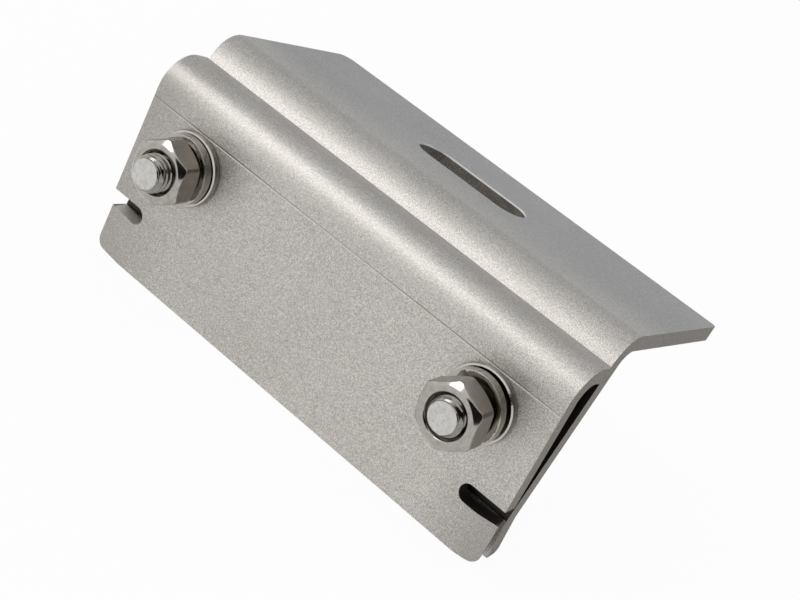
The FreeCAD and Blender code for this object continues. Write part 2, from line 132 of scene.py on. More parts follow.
@dataclass(frozen=True)
class BlastedSheet:
    """Bead-blasted austenitic stainless sheet: warm grey and satin, with a fine even grain of tiny dents.

    Places are in millimetres along X, Y and Z. A pair that ends in _mm fades in from its first
    number to its second, unless its comment says otherwise.
    """

    name: str = "blasted_stainless_sheet"

    # Dark and light tone of each surface, then the tones that are laid over them
    face_tones: Tones = ("#A19D98", "#E9E5E0")
    flange_tones: Tones = ("#8F8E8D", "#D8D7D5")
    # The cut edges' own tone, darkened with painted shade
    edge_tones_with_shade: Tones = ("#76716B", "#ACA7A0")
    # Slot walls: painted shade, with a lighter tone for the torn grain
    slot_shade_tones: Tones = ("#24221F", "#A8A39B")
    # Painted light on the left notch's walls, painted shade on the right notch's
    left_notch_light_tone: str = "#E0DCD6"
    right_notch_shade_tone: str = "#5A554F"
    # Painted highlight along the slot's upper edge
    arris_highlight_tone: str = "#FFFFFF"
    # Painted shade on the crease line's upper flank
    crease_shade_tone: str = "#7B766F"
    speck_tone: str = "#6A655F"
    # Painted shade inside the hollow between the plates
    hollow_shade_tone: str = "#46413B"

    # Grain and dents of the beads, clouds of handling, rub marks and specks
    grain_mm: float = 0.15
    grain_gain: float = 4.8
    torn_gain: float = 3.0
    dent_mm: float = 0.05
    dent_strength: float = 0.4
    cloud_mm: float = 25.0
    cloud_share: float = 0.25
    rubs_each_metre: Triple = (60.0, 3300.0, 3300.0)
    rub_turn: float = 0.25
    rub_share: float = 0.12
    speck_mm: float = 8.0
    speck_share: float = 0.035
    speck_strength: float = 0.8
    roughness: float = 0.50
    roughness_swing: float = 0.12
    edge_roughness: float = 0.1

    # The painted shade on the pressed crease line's upper flank: its height, its half width and how its
    # strength comes and goes
    crease_z_mm: float = 37.2
    crease_y_mm: float = -4.0
    crease_half_mm: Pair = (0.15, 0.03)
    crease_patch_mm: float = 30.0
    crease_patch: Pair = (0.35, 0.65)
    crease_shade_strength: Pair = (0.25, 0.9)

    # Notches and slot: from the first number to the second along X or Y
    notch_x_mm: Pair = (40.0, 54.2)
    notch_below_mm: float = 18.0
    slot_x_mm: float = 18.0
    slot_y_mm: Pair = (20.0, 50.0)
    # Where the painted highlight along the slot's upper edge starts, up along the flange's normal
    arris_highlight_above_mm: float = 52.5

    # The hollow between the plates, behind the jaw plate and in front of the leaning web, which takes
    # painted shade
    hollow_y_mm: float = -0.8
    hollow_below_mm: float = 41.5
    web_y_mm: float = 0.85
    web_above_mm: float = 10.0
    web_lean_deg: float = 11.2
    end_facing: float = 0.5

    # Darker places on the jaw plate: toward its left end, and painted shade on its bent right tab
    left_end_darkening: float = 0.42
    left_end_darkening_x_mm: Pair = (-30.0, -58.0)
    tab_shade: float = 0.5
    tab_shade_x_mm: Pair = (38.0, 56.0)
    tab_shade_z_mm: Pair = (17.0, 11.0)
    jaw_darkening_y_mm: Pair = (2.0, -3.0)

    # The back plate's crown, its flange and the cut edges
    crown_ease: float = 0.4
    crown_y_mm: Pair = (14.0, 8.0)
    crown_from_y_mm: float = 5.5
    crown_above_mm: float = 40.5
    crown_facing: Pair = (0.0, 0.15)
    flange_y_mm: Pair = (12.0, 32.0)
    flange_fall_deg: float = 8.7
    punched_from_y_mm: float = 15.0
    edge_below_mm: float = 20.0
    edge_turn: Pair = (0.4, 0.65)

    def flange_up(self) -> Triple:
        """Give the direction that the flange's upper face points in."""
        fall = math.radians(self.flange_fall_deg)
        return (0.0, math.sin(fall), math.cos(fall))

    def find_crease_shade(self, tree: NodeTree, place: Any, spot: Any) -> Node:
        """Tell the upper flank of the pressed crease line, which faces down and takes painted shade.

        Args:
            tree: The material's tree.
            place: The point's place on the object.
            spot: X, Y and Z of that place.

        Returns:
            A node that gives up to 1 along the line and 0 elsewhere.
        """
        away = add_node(tree, MATH, (spot[2], self.crease_z_mm * MM), operation="SUBTRACT")
        away = add_node(tree, MATH, (away,), operation="ABSOLUTE")
        outer, inner = self.crease_half_mm
        near = add_node(tree, RAMP, {
            "Value": away, "From Min": outer * MM, "From Max": inner * MM}, interpolation_type=SMOOTH)
        front = add_node(tree, MATH, (spot[1], self.crease_y_mm * MM), operation="LESS_THAN")
        # The painted shade comes and goes over some 30 mm, as a press tool marks unevenly
        patches = add_node(tree, NOISE, {
            "Vector": place, "Scale": 1 / (self.crease_patch_mm * MM), "Detail": 1.0, "Roughness": 0.5})
        low, high = self.crease_patch
        weak, strong = self.crease_shade_strength
        strength = add_node(tree, RAMP, {
            "Value": patches, "From Min": low, "From Max": high, "To Min": weak, "To Max": strong})
        line = add_node(tree, MATH, (near, front), operation="MULTIPLY")
        return add_node(tree, MATH, (line, strength), operation="MULTIPLY")

    def paint_cuts(self, tree: NodeTree, place: Any, spot: Any, plain: Any, grain: Any) -> Node:
        """Give the walls of notches and slot their tones: painted light on the left notch, painted shade on
        the right notch and the slot, and a painted highlight along the slot's upper edge.

        Args:
            tree: The material's tree.
            place: The point's place on the object.
            spot: X, Y and Z of that place.
            plain: The tone of the other cut edges, darkened with painted shade.
            grain: The node that gives the grain.

        Returns:
            A node whose third output is the tone of the cut edges.
        """
        reach = add_node(tree, MATH, (spot[0],), operation="ABSOLUTE")
        right = add_node(tree, MATH, (spot[0], 0.0), operation="GREATER_THAN")
        notch = add_node(tree, MATH, (reach, self.notch_x_mm[0] * MM), operation="GREATER_THAN")
        within = add_node(tree, MATH, (reach, self.notch_x_mm[1] * MM), operation="LESS_THAN")
        low = add_node(tree, MATH, (spot[2], self.notch_below_mm * MM), operation="LESS_THAN")
        slot = add_node(tree, MATH, (reach, self.slot_x_mm * MM), operation="LESS_THAN")
        back = add_node(tree, MATH, (spot[1], self.slot_y_mm[0] * MM), operation="GREATER_THAN")
        near = add_node(tree, MATH, (spot[1], self.slot_y_mm[1] * MM), operation="LESS_THAN")
        for mask in (within, low):
            notch = add_node(tree, MATH, (notch, mask), operation="MULTIPLY")
        for mask in (back, near):
            slot = add_node(tree, MATH, (slot, mask), operation="MULTIPLY")
        # The punch tore the slot's walls, so their tones swing with the full grain, from a dark tone of
        # painted shade to a lighter one
        torn = add_node(tree, MATH, (grain, self.torn_gain, 0.5 - self.torn_gain / 2),
                        operation="MULTIPLY_ADD", use_clamp=True)
        # A painted highlight along the slot's upper edge, 52.9 mm up along the flange's normal
        height = add_node(tree, VECTOR_MATH, (place, self.flange_up()),
                          operation="DOT_PRODUCT").outputs["Value"]
        arris_highlight = add_node(tree, MATH, (height, self.arris_highlight_above_mm * MM), operation="GREATER_THAN")
        dark, light = (linear(tone) for tone in self.slot_shade_tones)
        # Painted light for the left notch's walls, painted shade for the right notch's
        left_lit_wall, right_shaded_wall = linear(self.left_notch_light_tone), linear(self.right_notch_shade_tone)
        inner = add_node(tree, MIX, {
            FACTOR: torn, FIRST: dark, SECOND: light}, data_type="RGBA").outputs[MIXED]
        # The painted highlight is laid over the slot's walls
        inner = add_node(tree, MIX, {
            FACTOR: arris_highlight, FIRST: inner, SECOND: linear(self.arris_highlight_tone)}, data_type="RGBA").outputs[MIXED]
        walls = add_node(tree, MIX, {
            FACTOR: right, FIRST: left_lit_wall, SECOND: right_shaded_wall}, data_type="RGBA").outputs[MIXED]
        cuts = add_node(tree, MIX, {
            FACTOR: notch, FIRST: plain, SECOND: walls}, data_type="RGBA").outputs[MIXED]
        return add_node(tree, MIX, {FACTOR: slot, FIRST: cuts, SECOND: inner}, data_type="RGBA")

    def find_specks(self, tree: NodeTree, place: Any) -> Node:
        """Scatter the small dark specks of handling, half a millimetre wide and some 8 mm apart.

        Args:
            tree: The material's tree.
            place: The point's place on the object.

        Returns:
            A node that gives up to 1 on a speck and 0 elsewhere.
        """
        cells = add_node(tree, "ShaderNodeTexVoronoi", {
            "Vector": place, "Scale": 1 / (self.speck_mm * MM), "Randomness": 1.0})
        return add_node(tree, RAMP, {
            "Value": cells.outputs["Distance"], "From Min": self.speck_share, "From Max": 0.0,
            "To Max": self.speck_strength})

    def find_hollow_shade(self, tree: NodeTree, spot: Any, facing: Any) -> Node:
        """Tell the faces inside the hollow between the plates, where painted shade darkens them.

        Args:
            tree: The material's tree.
            spot: X, Y and Z of the point's place on the object.
            facing: X, Y and Z of the surface's direction there.

        Returns:
            A node that gives 1 inside the hollow and 0 elsewhere.
        """
        # The back plate's web leans away from the jaw plate above its nose
        lean = math.tan(math.radians(self.web_lean_deg))
        web = add_node(tree, MATH, (spot[2], -self.web_above_mm * MM), operation="ADD")
        web = add_node(tree, MATH, (web, lean, self.web_y_mm * MM), operation="MULTIPLY_ADD")
        inside = add_node(tree, MATH, (spot[1], web), operation="LESS_THAN")
        front = add_node(tree, MATH, (spot[1], self.hollow_y_mm * MM), operation="GREATER_THAN")
        under = add_node(tree, MATH, (spot[2], self.hollow_below_mm * MM), operation="LESS_THAN")
        ends = add_node(tree, MATH, (facing[0],), operation="ABSOLUTE")
        faces = add_node(tree, MATH, (ends, self.end_facing), operation="LESS_THAN")
        for mask in (front, under, faces):
            inside = add_node(tree, MATH, (inside, mask), operation="MULTIPLY")
        return inside

    def find_jaw_darkening(self, tree: NodeTree, spot: Any) -> Node:
        """Darken the jaw plate toward its left end, and paint shade on its bent right tab.

        Args:
            tree: The material's tree.
            spot: X, Y and Z of the point's place on the object.

        Returns:
            A node that gives what the tone's level loses there.
        """
        fades = []
        for axis, reach, most, kind in (
                (0, self.left_end_darkening_x_mm, self.left_end_darkening, SMOOTH),
                (0, self.tab_shade_x_mm, self.tab_shade, "LINEAR"),
                (2, self.tab_shade_z_mm, 1.0, SMOOTH),
                (1, self.jaw_darkening_y_mm, 1.0, SMOOTH)):
            fades.append(add_node(tree, RAMP, {
                "Value": spot[axis], "From Min": reach[0] * MM, "From Max": reach[1] * MM, "To Max": most},
                interpolation_type=kind))
        left, right, low, jaw = fades
        tab = add_node(tree, MATH, (right, low), operation="MULTIPLY")
        both = add_node(tree, MATH, (left, tab), operation="MAXIMUM")
        return add_node(tree, MATH, (both, jaw), operation="MULTIPLY")

    def lean_crown(self, tree: NodeTree, spot: Any) -> Node:
        """Lean the shading at the start of the back plate's crown, whose bend eases in.

        Args:
            tree: The material's tree.
            spot: X, Y and Z of the point's place on the object.

        Returns:
            A node that gives the direction that the bump starts from.
        """
        plain = add_node(tree, "ShaderNodeNewGeometry").outputs["Normal"]
        facing = add_node(tree, SPLIT, (plain,)).outputs
        start, full = self.crown_y_mm
        ease = add_node(tree, RAMP, {
            "Value": spot[1], "From Min": start * MM, "From Max": full * MM, "To Max": self.crown_ease},
            interpolation_type=SMOOTH)
        high = add_node(tree, MATH, (spot[2], self.crown_above_mm * MM), operation="GREATER_THAN")
        behind = add_node(tree, MATH, (spot[1], self.crown_from_y_mm * MM), operation="GREATER_THAN")
        level, tilted = self.crown_facing
        outer = add_node(tree, RAMP, {"Value": facing[2], "From Min": level, "From Max": tilted})
        for mask in (high, behind, outer):
            ease = add_node(tree, MATH, (ease, mask), operation="MULTIPLY")
        lift = add_node(tree, JOIN, (0.0, 0.0, ease))
        leant = add_node(tree, VECTOR_MATH, (plain, lift), operation="ADD")
        return add_node(tree, VECTOR_MATH, (leant,), operation="NORMALIZE")

    def find_cut_edges(self, tree: NodeTree, spot: Any, normal: Any, facing: Any) -> Node:
        """Tell the sheared and punched edges from the sheet's two faces.

        Args:
            tree: The material's tree.
            spot: X, Y and Z of the point's place on the object.
            normal: The surface's direction there.
            facing: X, Y and Z of that direction.

        Returns:
            A node that gives 1 on a cut edge and 0 on a face.
        """
        ends = add_node(tree, MATH, (facing[0],), operation="ABSOLUTE")
        # Below, an edge is what doesn't face along Y; on the flange, what doesn't face up or down
        front = add_node(tree, MATH, (facing[1],), operation="ABSOLUTE")
        across = add_node(tree, MATH, (1.0, front), operation="SUBTRACT")
        low = add_node(tree, MATH, (spot[2], self.edge_below_mm * MM), operation="LESS_THAN")
        foot = add_node(tree, MATH, (across, low), operation="MULTIPLY")
        up = add_node(tree, VECTOR_MATH, (normal, self.flange_up()),
                      operation="DOT_PRODUCT").outputs["Value"]
        flat = add_node(tree, MATH, (up,), operation="ABSOLUTE")
        wall = add_node(tree, MATH, (1.0, flat), operation="SUBTRACT")
        far = add_node(tree, MATH, (spot[1], self.punched_from_y_mm * MM), operation="GREATER_THAN")
        punched = add_node(tree, MATH, (wall, far), operation="MULTIPLY")
        most = add_node(tree, MATH, (ends, foot), operation="MAXIMUM")
        most = add_node(tree, MATH, (most, punched), operation="MAXIMUM")
        face, edge = self.edge_turn
        return add_node(tree, RAMP, {"Value": most, "From Min": face, "From Max": edge},
                        interpolation_type=SMOOTH)

    def build(self) -> Material:
        """Make the material.

        Returns:
            The finished material.
        """
        material, tree, shader = new_material(self.name)
        given = add_node(tree, "ShaderNodeTexCoord").outputs
        place = given["Object"]
        spot = add_node(tree, SPLIT, (place,)).outputs
        facing = add_node(tree, SPLIT, (given["Normal"],)).outputs
        # Blasting beads leave dents some 0.15 mm wide, about as fine as the render can show
        grain = add_node(tree, NOISE, {
            "Vector": place, "Scale": 1 / (self.grain_mm * MM), "Detail": 2.0, "Roughness": 0.6})
        # Slow change of tone over some 25 mm, from handling and uneven blasting
        cloud = add_node(tree, NOISE, {
            "Vector": place, "Scale": 1 / (self.cloud_mm * MM), "Detail": 2.0, "Roughness": 0.5})
        # Hairline rub marks, some 17 mm long and 0.3 mm apart
        stretched = add_node(tree, "ShaderNodeMapping", {
            "Vector": place, "Scale": self.rubs_each_metre, "Rotation": (0.0, 0.0, self.rub_turn)})
        rubbed = add_node(tree, NOISE, {
            "Vector": stretched, "Scale": 1.0, "Detail": 2.0, "Roughness": 0.5})
        level = add_node(tree, MATH, (grain, self.grain_gain, 0.5 - self.grain_gain / 2),
                         operation="MULTIPLY_ADD")
        for source, amount in ((cloud, self.cloud_share), (rubbed, self.rub_share)):
            swing = add_node(tree, MATH, (source, amount, -amount / 2), operation="MULTIPLY_ADD")
            level = add_node(tree, MATH, (level, swing), operation="ADD", use_clamp=True)
        # Darker toward the jaw plate's left end, with painted shade on its bent right tab
        level = add_node(tree, MATH, (level, self.find_jaw_darkening(tree, spot)), operation="SUBTRACT")

        tones = [add_node(tree, MIX, {
            FACTOR: level, FIRST: linear(dark), SECOND: linear(light)}, data_type="RGBA").outputs[MIXED]
            for dark, light in (self.face_tones, self.flange_tones, self.edge_tones_with_shade)]
        # The flange is a cooler grey than the rest
        start, full = self.flange_y_mm
        flange = add_node(tree, RAMP, {
            "Value": spot[1], "From Min": start * MM, "From Max": full * MM}, interpolation_type=SMOOTH)
        faces = add_node(tree, MIX, {
            FACTOR: flange, FIRST: tones[0], SECOND: tones[1]}, data_type="RGBA")
        # Laid over the faces: painted shade on the crease's upper flank, real specks of handling, and
        # painted shade inside the hollow
        for share, tone in ((self.find_crease_shade(tree, place, spot), self.crease_shade_tone),
                            (self.find_specks(tree, place), self.speck_tone),
                            (self.find_hollow_shade(tree, spot, facing), self.hollow_shade_tone)):
            faces = add_node(tree, MIX, {
                FACTOR: share, FIRST: faces.outputs[MIXED], SECOND: linear(tone)}, data_type="RGBA")
        # The cut edges take their own tone darkened with painted shade, and the notches and slot their
        # painted light and shade
        cut = self.find_cut_edges(tree, spot, given["Normal"], facing)
        walls = self.paint_cuts(tree, place, spot, tones[2], grain)
        colour = add_node(tree, MIX, {
            FACTOR: cut, FIRST: faces.outputs[MIXED], SECOND: walls.outputs[MIXED]}, data_type="RGBA")

        smoothest = self.roughness - self.roughness_swing / 2
        rough = add_node(tree, MATH, (level, self.roughness_swing, smoothest), operation="MULTIPLY_ADD")
        rough = add_node(tree, MATH, (cut, self.edge_roughness, rough), operation="MULTIPLY_ADD")
        bump = add_node(tree, "ShaderNodeBump", {
            "Strength": self.dent_strength, "Distance": self.dent_mm * MM, "Height": grain,
            "Normal": self.lean_crown(tree, spot)})
        tree.links.new(colour.outputs[MIXED], shader.inputs["Base Color"])
        tree.links.new(rough.outputs[0], shader.inputs["Roughness"])
        tree.links.new(bump.outputs[0], shader.inputs["Normal"])
        shader.inputs["Metallic"].default_value = 1.0
        return material


@dataclass(frozen=True)
class FastenerSteel:
    """Cold-formed stainless fastener: its sides and its end faces differ in tone and in gloss."""

    name: str
    side: Tones
    face: Tones
    side_roughness: float
    face_roughness: float
    face_turn: Pair = (0.9, 0.98)
    head_from_y_mm: float = 2.0
    mark_mm: float = 1.3
    mark_height: float = 4.0
    mark_roughness: float = 0.05
    score_mm: float = 0.15
    dent_mm: float = 0.01
    dent_strength: float = 0.1

    def build(self) -> Material:
        """Make the material.

        Returns:
            The finished material.
        """
        material, tree, shader = new_material(self.name)
        given = add_node(tree, "ShaderNodeTexCoord").outputs
        facing = add_node(tree, SPLIT, (given["Normal"],)).outputs[1]
        along = add_node(tree, MATH, (facing,), operation="ABSOLUTE")
        side, face = self.face_turn
        end = add_node(tree, RAMP, {
            "Value": along, "From Min": side, "From Max": face}, interpolation_type=SMOOTH)
        # The heads behind the plates are satin all over, as the bolts' ends are
        depth = add_node(tree, SPLIT, (given["Object"],)).outputs[1]
        head = add_node(tree, MATH, (depth, self.head_from_y_mm * MM), operation="GREATER_THAN")
        end = add_node(tree, MATH, (end, head), operation="MAXIMUM")
        # Faint rub marks from the tumbling barrel, about a millimetre across
        marks = add_node(tree, NOISE, {
            "Vector": given["Object"], "Scale": 1 / (self.mark_mm * MM), "Detail": 3.0, "Roughness": 0.6})
        # Fine scoring, drawn at 0.15 mm so that it just shows
        score = add_node(tree, NOISE, {
            "Vector": given["Object"], "Scale": 1 / (self.score_mm * MM), "Detail": 2.0, "Roughness": 0.5})
        tones = [add_node(tree, MIX, {
            FACTOR: marks, FIRST: linear(dark), SECOND: linear(light)}, data_type="RGBA").outputs[MIXED]
            for dark, light in (self.side, self.face)]
        colour = add_node(tree, MIX, {
            FACTOR: end, FIRST: tones[0], SECOND: tones[1]}, data_type="RGBA")
        gap = self.face_roughness - self.side_roughness
        rough = add_node(tree, MATH, (end, gap, self.side_roughness), operation="MULTIPLY_ADD")
        rough = add_node(tree, MATH, (marks, self.mark_roughness, rough), operation="MULTIPLY_ADD")
        height = add_node(tree, MATH, (marks, self.mark_height, score), operation="MULTIPLY_ADD")
        bump = add_node(tree, "ShaderNodeBump", {
            "Strength": self.dent_strength, "Distance": self.dent_mm * MM, "Height": height})
        tree.links.new(colour.outputs[MIXED], shader.inputs["Base Color"])
        tree.links.new(rough.outputs[0], shader.inputs["Roughness"])
        tree.links.new(bump.outputs[0], shader.inputs["Normal"])
        shader.inputs["Metallic"].default_value = 1.0
        return material


# Stainless bolt, tumbled in a barrel: its flanks are polished, their tone darkened with painted shade, and
# its end is satin and bright
BOLT_STEEL = FastenerSteel(
    "tumbled_stainless_bolt", side=("#6F6B65", "#ADA9A3"), face=("#A8A5A1", "#EDEBE7"),
    side_roughness=0.10, face_roughness=0.30, mark_mm=0.7, dent_strength=0.4)
# Stainless nut, pressed cold: its flats are a soft brownish grey, its face and chamfers gleam
NUT_STEEL = FastenerSteel(
    "cold_formed_stainless_nut", side=("#7B766F", "#A09B93"), face=("#8A8680", "#C9C6C0"),
    side_roughness=0.20, face_roughness=0.12, face_turn=(0.6, 0.72), dent_strength=0.16)
# Stainless washer, punched from rolled strip: nearly a mirror, a little darker on its rim
WASHER_STEEL = FastenerSteel(
    "punched_stainless_washer", side=("#85817B", "#A5A19A"), face=("#AFABA5", "#D2CFC9"),
    side_roughness=0.08, face_roughness=0.08, face_turn=(0.5, 0.8))
# Stainless spring wire, drawn and wound: smooth all round, with sharp bands of light
SPRING_STEEL = FastenerSteel(
    "wound_stainless_wire", side=("#8F8B84", "#B4B0A9"), face=("#A39F98", "#C3BFB8"),
    side_roughness=0.08, face_roughness=0.08, face_turn=(0.4, 0.7))


def dress(target: Object, material: Material) -> None:
    """Give an object one material.

    Args:
        target: The object.
        material: The material that all its faces take.
    """
    if not target.material_slots:
        target.data.materials.append(material)
    for place in target.material_slots:
        place.link = "OBJECT"
        place.material = material


def soften(target: Object, width_mm: float, turn_deg: float) -> None:
    """Weld a CAD node's facets and round its sharp edges.

    Args:
        target: The CAD node's object.
        width_mm: Width of the rounding in millimetres.
        turn_deg: Edges that turn by more than this many degrees are rounded.
    """
    weld = target.modifiers.new("weld", "WELD")
    weld.merge_threshold = FACET_WELD_MM * MM
    bevel = target.modifiers.new("broken_edges", "BEVEL")
    bevel.width = width_mm * MM
    bevel.segments = 2
    bevel.limit_method = "ANGLE"
    bevel.angle_limit = math.radians(turn_deg)
    # Held to the shortest edge, because a wider rounding tears the faces open
    bevel.use_clamp_overlap = True
    normals = target.modifiers.new("even_normals", "WEIGHTED_NORMAL")
    normals.keep_sharp = True


def finish_piece(form: bmesh.types.BMesh, name: str, node: str, body: str,
                 material: Material, sharp_deg: float) -> str:
    """Make one fastener piece of a finished form and let it stand for its CAD node.

    Args:
        form: The piece's form, which is freed.
        name: The piece's name.
        node: The CAD node that it replaces.
        body: The body that it rides on.
        material: Its material.
        sharp_deg: Edges that turn by more than this many degrees stay sharp.

    Returns:
        The piece's name.
    """
    bmesh.ops.recalc_face_normals(form, faces=form.faces)
    for face in form.faces:
        face.smooth = True
    mesh = bpy.data.meshes.new(name)
    form.to_mesh(mesh)
    form.free()
    mesh.set_sharp_from_angle(angle=math.radians(sharp_deg))
    piece = bpy.data.objects.new(name, mesh)
    bpy.context.scene.collection.objects.link(piece)
    dress(piece, material)
    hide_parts(node)
    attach(piece, body)
    return piece.name


@dataclass
class PlatePair:
    """The jaw plate and the back plate, both carried over from the solids."""

    nodes: tuple[str, ...] = ("jaw_plate", "back_plate")
    edge_mm: float = 0.22
    edge_turn_deg: float = 35.0
    finish: BlastedSheet = field(default_factory=BlastedSheet)

    def build(self, objects: dict[str, Object]) -> list[str]:
        """Dress both plates.

        Args:
            objects: The frame's objects by node name.

        Returns:
            The names of the pieces.
        """
        material = self.finish.build()
        for name in self.nodes:
            dress(objects[name], material)
            soften(objects[name], self.edge_mm, self.edge_turn_deg)
        return list(self.nodes)


@dataclass
class ThreadedBolt:
    """One bolt: thread, plain shank, square neck and domed head, in place of its plain solid."""

    side: Side
    major_mm: float = 8.0
    pitch_mm: float = 1.25
    depth_mm: float = 0.77
    flank_gain: float = 1.48
    flank_start: float = 0.2
    thread_mm: float = 22.0
    shank_mm: float = 27.0
    tip_mm: float = 6.3
    taper_mm: float = 1.2
    head_mm: float = 20.0
    dome_mm: float = 4.6
    rim_mm: float = 0.9
    head_edge_mm: float = 0.2
    head_rows: int = 14
    head_columns: int = 72
    neck_mm: float = 8.0
    neck_long_mm: float = 5.5
    neck_corner_mm: float = 0.8
    corner_steps: int = 4
    columns: int = 96
    rows_each_pitch: int = 14
    seam_mm: float = 0.002
    weld_mm: float = 0.001
    sharp_deg: float = 38.0

    def thread_tree(self, material: Material) -> NodeTree:
        """Build the geometry tree that winds the thread.

        Args:
            material: The material set on the result.

        Returns:
            The node group, with its sizes as inputs in metres.
        """
        tree = bpy.data.node_groups.new("bolt_thread", "GeometryNodeTree")
        for name in ("Radius", "Pitch", "Depth", "Thread", "Length", "Tip Radius", "Taper"):
            tree.interface.new_socket(name, in_out="INPUT", socket_type="NodeSocketFloat")
        tree.interface.new_socket("Tip", in_out="INPUT", socket_type="NodeSocketVector")
        for name in ("Columns", "Rows", "Rows Each Pitch"):
            tree.interface.new_socket(name, in_out="INPUT", socket_type="NodeSocketInt")
        tree.interface.new_socket("Geometry", in_out="OUTPUT", socket_type="NodeSocketGeometry")
        given = add_node(tree, "NodeGroupInput").outputs

        across = add_node(tree, MATH, (given["Columns"], 1.0), operation="ADD")
        gaps = add_node(tree, MATH, (given["Rows"], 1.0), operation="SUBTRACT")
        spacing = add_node(tree, MATH, (given["Pitch"], given["Rows Each Pitch"]), operation="DIVIDE")
        span = add_node(tree, MATH, (gaps, spacing), operation="MULTIPLY")
        grid = add_node(tree, "GeometryNodeMeshGrid", {
            "Size X": 2 * math.pi, "Size Y": span, "Vertices X": across, "Vertices Y": given["Rows"]})
        spot = add_node(tree, SPLIT, (add_node(tree, "GeometryNodeInputPosition"),))
        angle = spot.outputs[0]

        # Each row of the grid runs along the helix: it climbs by one pitch in one turn
        wound_up = add_node(tree, MATH, (span, 0.5, spot.outputs[1]), operation="MULTIPLY_ADD")
        wound_up = add_node(tree, MATH, (given["Pitch"], -0.5, wound_up), operation="MULTIPLY_ADD")
        phase = add_node(tree, MATH, (wound_up, given["Pitch"]), operation="DIVIDE")
        climb = add_node(tree, MATH, (angle, given["Pitch"]), operation="MULTIPLY")
        raw = add_node(tree, MATH, (climb, -1 / (2 * math.pi), wound_up), operation="MULTIPLY_ADD")
        above = add_node(tree, MATH, (raw, 0.0), operation="MAXIMUM")
        along = add_node(tree, MATH, (above, given["Length"]), operation="MINIMUM")

        # From crest to root over half a pitch, with flats of an eighth and a fifth of the pitch
        doubled = add_node(tree, MATH, (phase, 2.0), operation="MULTIPLY")
        wave = add_node(tree, MATH, (doubled, 1.0), operation="PINGPONG")
        flank = add_node(tree, MATH, (wave, self.flank_gain, -self.flank_start),
                         operation="MULTIPLY_ADD", use_clamp=True)
        left_over = add_node(tree, MATH, (given["Thread"], along), operation="SUBTRACT")
        run_out = add_node(tree, MATH, (left_over, given["Pitch"]), operation="DIVIDE", use_clamp=True)
        deep = add_node(tree, MATH, (flank, given["Depth"]), operation="MULTIPLY")
        cut = add_node(tree, MATH, (deep, run_out), operation="MULTIPLY")
        wound = add_node(tree, MATH, (given["Radius"], cut), operation="SUBTRACT")
        slope = add_node(tree, MATH, (along, given["Taper"]), operation="DIVIDE")
        rise = add_node(tree, MATH, (given["Radius"], given["Tip Radius"]), operation="SUBTRACT")
        cone = add_node(tree, MATH, (slope, rise, given["Tip Radius"]), operation="MULTIPLY_ADD")
        radius = add_node(tree, MATH, (wound, cone), operation="MINIMUM")

        turned = [add_node(tree, MATH, (radius, add_node(tree, MATH, (angle,), operation=wheel)),
                           operation="MULTIPLY") for wheel in ("COSINE", "SINE")]
        rim = add_node(tree, JOIN, (turned[0], along, turned[1]))
        wall = add_node(tree, "GeometryNodeSetPosition", {"Geometry": grid, "Position": rim})
        joined = add_node(tree, "GeometryNodeJoinGeometry")
        tree.links.new(wall.outputs[0], joined.inputs[0])
        for size, level in ((given["Tip Radius"], 0.0), (given["Radius"], given["Length"])):
            disc = add_node(tree, "GeometryNodeMeshCircle", {
                "Vertices": given["Columns"], "Radius": size}, fill_type="NGON")
            shift = add_node(tree, JOIN, (0.0, level))
            cap = add_node(tree, "GeometryNodeTransform", {
                "Geometry": disc, "Translation": shift, "Rotation": (math.pi / 2, 0.0, 0.0)})
            tree.links.new(cap.outputs[0], joined.inputs[0])
        welded = add_node(tree, "GeometryNodeMergeByDistance", {
            "Geometry": joined, "Distance": self.seam_mm * MM})
        placed = add_node(tree, "GeometryNodeTransform", {"Geometry": welded, "Translation": given["Tip"]})
        real = add_node(tree, "GeometryNodeRealizeInstances", (placed,))
        clad = add_node(tree, "GeometryNodeSetMaterial", {"Geometry": real, "Material": material})
        add_node(tree, "NodeGroupOutput", (clad,))
        return tree

    def wind_thread(self, tip: Vector, material: Material) -> Mesh:
        """Make the shank's mesh from the geometry tree.

        Args:
            tip: Middle of the bolt's end face, in metres.
            material: The bolt's material.

        Returns:
            A plain mesh.
        """
        tree = self.thread_tree(material)
        carrier = bpy.data.objects.new("thread_carrier", bpy.data.meshes.new("thread_carrier"))
        bpy.context.scene.collection.objects.link(carrier)
        modifier = carrier.modifiers.new("thread", "NODES")
        modifier.node_group = tree
        values = {
            "Radius": self.major_mm / 2 * MM, "Pitch": self.pitch_mm * MM, "Depth": self.depth_mm * MM,
            "Thread": self.thread_mm * MM, "Length": self.shank_mm * MM,
            "Tip Radius": self.tip_mm / 2 * MM, "Taper": self.taper_mm * MM, "Tip": tip,
            "Columns": self.columns, "Rows Each Pitch": self.rows_each_pitch,
            "Rows": 2 + math.ceil((self.shank_mm / self.pitch_mm + 1) * self.rows_each_pitch),
        }
        for item in tree.interface.items_tree:
            if item.in_out == "INPUT":
                modifier[item.identifier] = values[item.name]
        bpy.context.view_layer.update()
        evaluated = carrier.evaluated_get(bpy.context.evaluated_depsgraph_get())
        mesh = bpy.data.meshes.new_from_object(evaluated)
        carrier.modifiers.remove(modifier)
        bpy.data.objects.remove(carrier)
        return mesh

